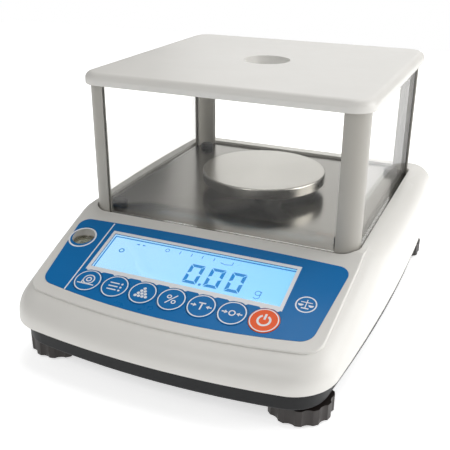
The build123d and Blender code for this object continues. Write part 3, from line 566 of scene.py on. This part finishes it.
class Shape:
    """A mesh under construction, in millimetres, in a local frame."""

    def __init__(self) -> None:
        """Starts empty."""
        self.mesh = bmesh.new()

    def plate(self, outline: Outline, low: float, high: float) -> "Shape":
        """Adds an extruded outline.

        Args:
            outline: Corners in order.
            low: The bottom's height.
            high: The top's height.

        Returns:
            This shape.
        """
        corners = [self.mesh.verts.new((x, y, low)) for x, y in outline]
        face = self.mesh.faces.new(corners)
        grown = bmesh.ops.extrude_face_region(self.mesh, geom=[face])
        moved = [item for item in grown["geom"] if isinstance(item, bmesh.types.BMVert)]
        bmesh.ops.translate(self.mesh, verts=moved, vec=(0.0, 0.0, high - low))
        return self

    def ring(self, x: float, y: float, outer: float, inner: float, low: float, high: float,
             segments: int = 64) -> "Shape":
        """Adds a flat ring.

        Args:
            x: Centre.
            y: Centre.
            outer: Outer radius.
            inner: Inner radius.
            low: The bottom's height.
            high: The top's height.
            segments: Sides.

        Returns:
            This shape.
        """
        spot = Matrix.Translation((x, y, low))
        loops = []
        for radius in (outer, inner):
            made = bmesh.ops.create_circle(self.mesh, segments=segments, radius=radius, matrix=spot)
            loops.append(list({edge for vert in made["verts"] for edge in vert.link_edges}))
        bridged = bmesh.ops.bridge_loops(self.mesh, edges=loops[0] + loops[1])
        grown = bmesh.ops.extrude_face_region(self.mesh, geom=bridged["faces"])
        moved = [item for item in grown["geom"] if isinstance(item, bmesh.types.BMVert)]
        bmesh.ops.translate(self.mesh, verts=moved, vec=(0.0, 0.0, high - low))
        return self

    def disc(self, x: float, y: float, radius: float, low: float, high: float, segments: int = 48) -> "Shape":
        """Adds a round plate.

        Args:
            x: Centre.
            y: Centre.
            radius: Radius.
            low: The bottom's height.
            high: The top's height.
            segments: Sides.

        Returns:
            This shape.
        """
        return self.plate(arc(x, y, radius, 0, 360 - 360 / segments, segments - 1), low, high)

    def finish(self, name: str, place: Matrix, bevel: float = 0.0) -> bpy.types.Object:
        """Turns the shape into an object whose place is in its mesh.

        Args:
            name: The piece's name.
            place: From the local frame in millimetres to the model's in metres.
            bevel: Edge rounding in millimetres.

        Returns:
            The piece.
        """
        bmesh.ops.recalc_face_normals(self.mesh, faces=self.mesh.faces)
        if bevel:
            sharp = [e for e in self.mesh.edges if e.is_manifold and e.calc_face_angle(0) > SHARP_EDGE]
            bmesh.ops.bevel(self.mesh, geom=sharp, offset=bevel, segments=2, profile=0.5,
                            affect="EDGES", material=-1)
        bmesh.ops.transform(self.mesh, matrix=place @ Matrix.Scale(MM, 4), verts=self.mesh.verts)
        data = bpy.data.meshes.new(name)
        self.mesh.to_mesh(data)
        self.mesh.free()
        piece = bpy.data.objects.new(name, data)
        bpy.context.scene.collection.objects.link(piece)
        return piece


@dataclass
class Workshop:
    """What every sub-assembly needs: the frame, the finishes and a log of the pieces."""

    frame: dict
    palette: Palette
    count: int = 0

    def add(self, piece: bpy.types.Object, body: str, finish: str, slot: str) -> bpy.types.Object:
        """Dresses a new piece and lets it ride on a body.

        Args:
            piece: The piece.
            body: The body's name.
            finish: The finish's name.
            slot: The record's material slot; not used.

        Returns:
            The piece.
        """
        self.palette.dress(piece, finish)
        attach(piece, body)
        self.count += 1
        LOG.info("piece %s on %s", piece.name, body)
        return piece

    def dress_nodes(self) -> None:
        """Gives every CAD node the finish that its slot names; the posts instead get a darker copy of the
        shield's white, painted shade for the lid's shadow on them.
        """
        slots = {part["node"]: part["material_slot"] for part in self.frame["record"]["subparts"]}
        for name, node in self.frame["nodes"].items():
            # Posts: painted shade, a darker copy of the shield's white standing in for the lid's shadow.
            finish = "post_painted_shade_white" if name.startswith("post_") else slots[name]
            self.palette.dress(node, finish)
            node.data.shade_smooth()
            LOG.info("node %s in %s", name, finish)


@dataclass
class Console:
    """The sloping console: printing, key symbols and the display's figures, in its own plane."""

    shop: Workshop
    slope: float = 17.8
    drop: float = 1.35
    overlay_lift: float = 0.1
    key_lift: float = 0.45
    ink: float = 0.03
    key_row: float = 62.95
    key_hole: float = 9.2
    key_ring: tuple[float, float] = (8.45, 7.75)
    pitch: float = 19.1
    window_half: float = 62.3
    window_top: float = 19.25
    window_bottom: float = 50.55
    frame_side: float = 2.2
    frame_top: float = 2.4
    frame_foot: float = 3.2
    tab_half: float = 6.3
    tab_neck: float = 0.78
    tab_gap: float = 0.35
    line_x: float = -68.3
    line_wide: float = 0.9
    line_ends: tuple[float, float] = (-73.3, -10.4)
    level_ring_size: tuple[float, float] = (9.4, 8.3)
    level_shift: float = 0.7
    emblem: tuple[float, float] = (75.8, -45.0)
    glass_lift: float = -1.8
    digit_lefts: tuple[float, ...] = (-1.9, 11.9, 25.5)
    digit_top: float = -30.2
    digit_size: tuple[float, float] = (9.4, 16.0)
    scale_ticks: tuple[float, ...] = (-13.5, -5.5, 2.0, 9.9)
    fine_line: float = 0.45
    # width of the painted shadow strip along the display window's top and left edges
    edge_shadow_wide: float = 0.9
    place: Matrix = field(init=False)

    def __post_init__(self) -> None:
        """Finds the console's plane from the deck and the rim."""
        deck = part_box("deck_gasket")
        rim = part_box("upper_housing")[1].z
        origin = Vector((0.0, deck[0].y, rim - self.drop * MM))
        self.place = Matrix.Translation(origin) @ Matrix.Rotation(math.radians(self.slope), 4, "X")

    def build(self) -> None:
        """Makes every printed piece."""
        self.border()
        self.level_ring()
        for index, key in enumerate(Key):
            self.key_print(index, key)
        self.figures()

    def border(self) -> None:
        """The white frame round the window, the tabs to the keys and the fine line."""
        low, high = self.overlay_lift, self.overlay_lift + self.ink
        wide = self.window_half + self.frame_side
        top = -self.window_top + self.frame_top
        foot = -self.window_bottom - self.frame_foot
        shape = Shape()
        shape.plate(rectangle(-wide, -self.window_top, wide, top), low, high)
        shape.plate(rectangle(-wide, -self.window_bottom, -self.window_half, -self.window_top), low, high)
        shape.plate(rectangle(self.window_half, -self.window_bottom, wide, -self.window_top), low, high)
        shape.plate(rectangle(-wide, foot, wide, -self.window_bottom), low, high)
        for index in range(len(Key)):
            shape.plate(self.tab(index, foot), low, high)
        self.shop.add(shape.finish("print_window_frame", self.place), "base", "print_white", "overlay_blue")
        line = Shape()
        line.plate(rectangle(self.line_x, self.line_ends[0], self.line_x + self.line_wide, self.line_ends[1]),
                   low, high)
        self.shop.add(line.finish("print_side_line", self.place), "base", "print_white", "overlay_blue")
        x, y = self.emblem
        mark = Shape().ring(x, y, 6.2, 5.4, low, high)
        beam = stroke([(x - 3.2, y + 1.6), (x + 3.2, y + 1.6)], 0.6)
        for run in beam + stroke([(x, y + 3.4), (x, y - 2.6)], 0.6):
            mark.plate(run, low + self.ink, high + self.ink)
        for side in (-1, 1):
            mark.plate(arc(x + side * 3.0, y, 1.6, 180, 360, 12), low, high)
        mark.plate(rectangle(x - 2.2, y - 3.3, x + 2.2, y - 2.5), low, high)
        self.shop.add(mark.finish("print_emblem", self.place), "base", "print_white", "overlay_blue")

    def tab(self, index: int, foot: float) -> Outline:
        """The white tab over one key, ending at the key's hole.

        Args:
            index: The key's place in the row.
            foot: The frame's lower side.

        Returns:
            The tab's outline.
        """
        x = self.key_x(index)
        half = self.tab_half
        reach = self.key_hole + self.tab_gap
        turn = math.degrees(math.acos(half * self.tab_neck / reach))
        rim = arc(x, -self.key_row, reach, turn, 180 - turn, 16)
        return [(x + half, foot)] + rim + [(x - half, foot)]

    def key_x(self, index: int) -> float:
        """A key's place across the console.

        Args:
            index: The key's place in the row.

        Returns:
            Its centre.
        """
        return (index - (len(Key) - 1) / 2) * self.pitch

    def level_ring(self) -> None:
        """The white ring printed round the level."""
        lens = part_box("level_lens")
        centre = (lens[0] + lens[1]) / 2
        local = self.place.inverted() @ centre / MM
        low, high = self.overlay_lift, self.overlay_lift + self.ink
        shape = Shape().ring(local.x, local.y - self.level_shift, *self.level_ring_size, low, high)
        self.shop.add(shape.finish("print_level_ring", self.place), "base", "print_white", "overlay_blue")

    def key_print(self, index: int, key: Key) -> None:
        """One key's ring and symbol.

        Args:
            index: The key's place in the row.
            key: The key.
        """
        x, y = self.key_x(index), -self.key_row
        low, high = self.key_lift, self.key_lift + self.ink
        shape = Shape().ring(x, y, *self.key_ring, low, high)
        for part in self.symbol(key):
            shape.plate([(x + px, y + py) for px, py in part], low, high)
        for px, py, outer, inner in self.rings(key):
            shape.ring(x + px, y + py, outer, inner, low, high, 40)
        piece = shape.finish(f"print_key_{key.value}", self.place)
        slot = "key_orange" if key is Key.POWER else "key_blue"
        self.shop.add(piece, f"key_{key.value}_body", "print_white", slot)

    def rings(self, key: Key) -> list[tuple[float, float, float, float]]:
        """The rings in a key's symbol.

        Args:
            key: The key.

        Returns:
            Each ring's centre, outer and inner radius.
        """
        if key is Key.PRINT:
            return [(0.4, 1.0, 3.9, 3.1), (0.4, 1.0, 1.9, 1.1)]
        if key is Key.PERCENT:
            return [(-2.0, 1.7, 1.5, 0.8), (2.0, -1.7, 1.5, 0.8)]
        if key is Key.ZERO:
            return [(0.0, 0.0, 2.1, 1.35)]
        return []

    def symbol(self, key: Key) -> list[Outline]:
        """The solid strokes of a key's symbol.

        Args:
            key: The key.

        Returns:
            The strokes' outlines.
        """
        if key is Key.PRINT:
            return stroke([(-5.6, -2.9), (5.4, -2.9)], 0.8) + stroke([(-3.1, -2.9), (-3.1, 1.0)], 0.8)
        if key is Key.MODE:
            bars = [stroke([(-4.0, y), (1.8, y)], 0.85)[0] for y in (2.6, 0.0, -2.6)]
            return bars + [arc(4.0, y, 0.75, 0, 330, 11) for y in (2.6, 0.0, -2.6)]
        if key is Key.COUNT:
            balls = []
            for row, number in enumerate((1, 2, 3, 4)):
                for step in range(number):
                    spot = ((step - (number - 1) / 2) * 2.3, 3.4 - row * 2.1)
                    balls.append(arc(*spot, 1.02, 0, 337, 15))
            return balls
        if key is Key.PERCENT:
            return stroke([(-2.6, -3.4), (2.6, 3.4)], 0.75)
        if key in (Key.TARE, Key.ZERO):
            inner = 2.6 if key is Key.ZERO else 2.9
            arrows = []
            for side in (-1, 1):
                back = side * (inner + 1.9)
                arrows.append([(side * inner, 0.0), (back, 1.35), (back, -1.35)])
                arrows += stroke([(side * (inner + 1.7), 0.0), (side * (inner + 3.4), 0.0)], 0.85)
            if key is Key.TARE:
                arrows += stroke([(-1.9, 2.3), (1.9, 2.3)], 0.9) + stroke([(0.0, 2.1), (0.0, -2.6)], 0.9)
            return arrows
        return self.power()

    def power(self) -> list[Outline]:
        """The broken ring and bar of the power key.

        Returns:
            The outlines.
        """
        steps, start, end = 30, 118, 422
        outer = arc(0.0, -0.2, 4.2, start, end, steps)
        inner = arc(0.0, -0.2, 2.9, end, start, steps)
        runs = []
        for index in range(steps):
            last = steps - index
            runs.append([outer[index], outer[index + 1], inner[last - 1], inner[last]])
        return runs + stroke([(0.0, 0.9), (0.0, 4.3)], 1.3)

    def figures(self) -> None:
        """The reading, the small marks on the display glass, and a painted shadow strip along the window's
        top and left edges.
        """
        low, high = self.glass_lift, self.glass_lift + self.ink
        shape = Shape()
        for left in self.digit_lefts:
            for part in self.digit(left, self.digit_top, *self.digit_size):
                shape.plate(part, low, high)
        shape.plate(rectangle(9.0, -46.4, 10.6, -44.6), low, high)
        for x in self.scale_ticks:
            shape.plate(rectangle(x - 0.25, -24.4, x + 0.25, -21.8), low, high)
        shape.ring(-22.4, -23.1, 1.5, 1.05, low, high, 24)
        shape.ring(-51.6, -31.0, 1.9, 1.15, low, high, 32)
        shape.plate([(-45.2, -23.1), (-42.6, -22.4), (-42.6, -23.8)], low, high)
        shape.plate([(-37.6, -23.1), (-40.2, -22.4), (-40.2, -23.8)], low, high)
        for run in stroke([(14.8, -24.6), (18.0, -25.6), (22.5, -24.8), (22.5, -22.6)], self.fine_line):
            shape.plate(run, low, high)
        shape.ring(46.0, -42.6, 1.9, 1.45, low, high, 24)
        for run in stroke([(47.7, -41.0), (47.7, -46.0), (46.0, -47.2), (44.4, -46.4)], self.fine_line):
            shape.plate(run, low, high)
        self.shop.add(shape.finish("lcd_figures", self.place), "base", "segment_blue", "lcd_blue")
        # A darker blue strip along the window's top and left edges: painted shadow of the window's rim on the
        # recessed display.
        shade, wide, high = Shape(), self.edge_shadow_wide, low + 0.02
        half, top, foot = self.window_half, -self.window_top, -self.window_bottom
        shade.plate(rectangle(-half, top - wide, half, top), low, high)
        shade.plate(rectangle(-half, foot, -half + wide, top), low, high)
        self.shop.add(shade.finish("lcd_edge_painted_shadow", self.place), "base", "segment_blue", "lcd_blue")

    @staticmethod
    def digit(x: float, y: float, wide: float, tall: float) -> list[Outline]:
        """A nought made of six separate segments.

        Args:
            x: Left edge.
            y: Top edge.
            wide: Width.
            tall: Height.

        Returns:
            The segments' outlines.
        """
        t, g = 2.2, 0.3
        right, foot, middle = x + wide, y - tall, y - tall / 2
        parts = [
            [(x + g, y), (right - g, y), (right - t, y - t), (x + t, y - t)],
            [(x + t, foot + t), (right - t, foot + t), (right - g, foot), (x + g, foot)],
        ]
        for top, low in ((y, middle), (middle, foot)):
            upper = top == y
            a = top - (2 * g if upper else g)
            b = low + (g if upper else 2 * g)
            cut_a = a - (t if upper else t / 2)
            cut_b = b + (t / 2 if upper else t)
            parts.append([(x, a), (x + t, cut_a), (x + t, cut_b), (x, b)])
            parts.append([(right - t, cut_a), (right, a), (right, b), (right - t, cut_b)])
        return parts


@dataclass
class Electronics:
    """Parts on the main board, and the level's liquid."""

    shop: Workshop
    chips: tuple[tuple[float, ...], ...] = (
        (30, 40, 14, 14, 1.6), (30, 66, 8, 10, 2.0), (12, 30, 10, 6, 2.0),
        (46, 60, 7, 7, 1.5), (12, 100, 18, 12, 3.0), (44, 104, 9, 9, 2.5),
    )
    cans: tuple[tuple[float, ...], ...] = (
        (12, 132, 4, 10), (24, 132, 4, 10), (36, 132, 3, 8), (46, 20, 3, 6),
    )
    gap: float = 0.1

    def build(self) -> None:
        """Makes the board parts and the level's liquid."""
        low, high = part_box("main_board")
        place = Matrix.Translation((low.x, low.y, high.z))
        chips, cans = Shape(), Shape()
        for x, y, w, d, h in self.chips:
            chips.plate(rectangle(x, y, x + w, y + d), 0.0, h)
        for x, y, r, h in self.cans:
            cans.disc(x, y, r, 0.0, h)
        self.shop.add(chips.finish("main_board_chips", place, 0.2), "base", "chip_black", "board_green")
        self.shop.add(cans.finish("main_board_capacitors", place, 0.4), "base", "screw_steel", "screw_steel")
        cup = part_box("level_cup")
        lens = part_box("level_lens")
        centre = (lens[0] + lens[1]) / 2
        spot = Matrix.Translation((centre.x, centre.y, cup[0].z))
        radius = (lens[1].x - lens[0].x) / 2 / MM - self.gap
        depth = (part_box("level_bubble")[0].z - cup[0].z) / MM - self.gap
        liquid = Shape().disc(0.0, 0.0, radius, 1.0, depth)
        self.shop.add(liquid.finish("level_liquid", spot), "base", "level_liquid", "bubble_clear")
        rings = Shape().ring(0.0, 0.0, 3.7, 3.45, depth + 0.01, depth + 0.04)
        self.shop.add(rings.finish("level_mark", spot), "base", "frame_black", "frame_black")


@dataclass
class Studio:
    """The floor, the light and the camera."""

    azimuth: float = 23.44
    elevation: float = 23.58
    roll: float = 0.32
    lens: float = 56.95
    spot: tuple[float, float, float] = (0.1718, -0.4320, 0.25636)

    def build(self) -> None:
        """Makes the studio."""
        self.floor()
        self.lights()
        self.camera()

    def floor(self) -> None:
        """A plain pale floor."""
        shape = Shape().plate(rectangle(-1100, -1100, 1100, 1100), -2.0, 0.0)
        piece = shape.finish("studio_floor", Matrix.Identity(4))
        sheet = Sheet("floor_paint")
        sheet.set(Base_Color=(0.92, 0.92, 0.92, 1.0), Roughness=0.9, Specular_IOR_Level=0.1,
                  Emission_Color=(1.0, 1.0, 1.0, 1.0), Emission_Strength=0.62)
        piece.data.materials.append(sheet.material)

    def lights(self) -> None:
        """A dim even room, a white backdrop and four soft panels."""
        world = bpy.data.worlds.new("studio_world")
        bpy.context.scene.world = world
        world.use_nodes = True
        tree = world.node_tree
        room = tree.nodes["Background"]
        room.inputs["Color"].default_value = (1.0, 1.0, 1.0, 1.0)
        room.inputs["Strength"].default_value = 0.16
        backdrop = tree.nodes.new("ShaderNodeBackground")
        backdrop.inputs["Color"].default_value = (1.0, 1.0, 1.0, 1.0)
        path = tree.nodes.new("ShaderNodeLightPath")
        mix = tree.nodes.new("ShaderNodeMixShader")
        tree.links.new(path.outputs["Is Camera Ray"], mix.inputs["Fac"])
        tree.links.new(room.outputs["Background"], mix.inputs[1])
        tree.links.new(backdrop.outputs["Background"], mix.inputs[2])
        tree.links.new(mix.outputs["Shader"], tree.nodes["World Output"].inputs["Surface"])
        self.panel("top_panel", (0.15, 0.45, 1.4), (0.0, 0.0, 0.1), 1.2, 11.0)
        self.panel("right_panel", (1.3, 0.35, 0.55), (0.0, 0.0, 0.1), 1.0, 13.5)
        self.panel("fill_panel", (-0.2, -1.2, 1.2), (0.0, 0.0, 0.05), 0.7, 6.5)
        self.panel("back_panel", (-0.3, 1.6, 0.9), (0.0, 0.0, 0.1), 1.2, 5.0)
        bpy.context.scene.view_settings.view_transform = "Standard"

    @staticmethod
    def panel(name: str, spot: tuple[float, float, float], aim: tuple[float, float, float],
              size: float, power: float) -> None:
        """One square soft light.

        Args:
            name: The light's name.
            spot: Where it stands.
            aim: What it points at.
            size: Its side.
            power: Watts.
        """
        data = bpy.data.lights.new(name, "AREA")
        data.size = size
        data.energy = power
        lamp = bpy.data.objects.new(name, data)
        lamp.location = spot
        lamp.rotation_euler = (Vector(aim) - Vector(spot)).to_track_quat("-Z", "Y").to_euler()
        bpy.context.scene.collection.objects.link(lamp)

    def camera(self) -> None:
        """The camera, from its azimuth, elevation, roll and place."""
        az, el, roll = (math.radians(v) for v in (self.azimuth, self.elevation, self.roll))
        back = Vector((math.sin(az) * math.cos(el), -math.cos(az) * math.cos(el), math.sin(el)))
        right = (-back).cross(Vector((0.0, 0.0, 1.0))).normalized()
        up = right.cross(-back)
        across = math.cos(roll) * right + math.sin(roll) * up
        above = -math.sin(roll) * right + math.cos(roll) * up
        turn = Matrix((across, above, back)).transposed().to_4x4()
        data = bpy.data.cameras.new("camera")
        data.sensor_width = 36.0
        data.lens = self.lens
        data.clip_start = 0.01
        camera = bpy.data.objects.new("camera", data)
        camera.matrix_world = Matrix.Translation(self.spot) @ turn
        bpy.context.scene.collection.objects.link(camera)
        bpy.context.scene.camera = camera


def corners(bounds: tuple) -> list[list[float]]:
    """A box as plain lists.

    Args:
        bounds: Its two corners.

    Returns:
        The corners' coordinates.
    """
    return [[float(part) for part in corner] for corner in bounds]


def main() -> None:
    """Builds the balance and its studio."""
    logging.basicConfig(level=logging.INFO, format="%(message)s")
    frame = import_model()
    shop = Workshop(frame, Palette())
    shop.dress_nodes()
    for assembly in (Console(shop), Electronics(shop)):
        assembly.build()
    Studio().build()
    LOG.info("%d new pieces", shop.count)


if __name__ == "__main__":
    main()
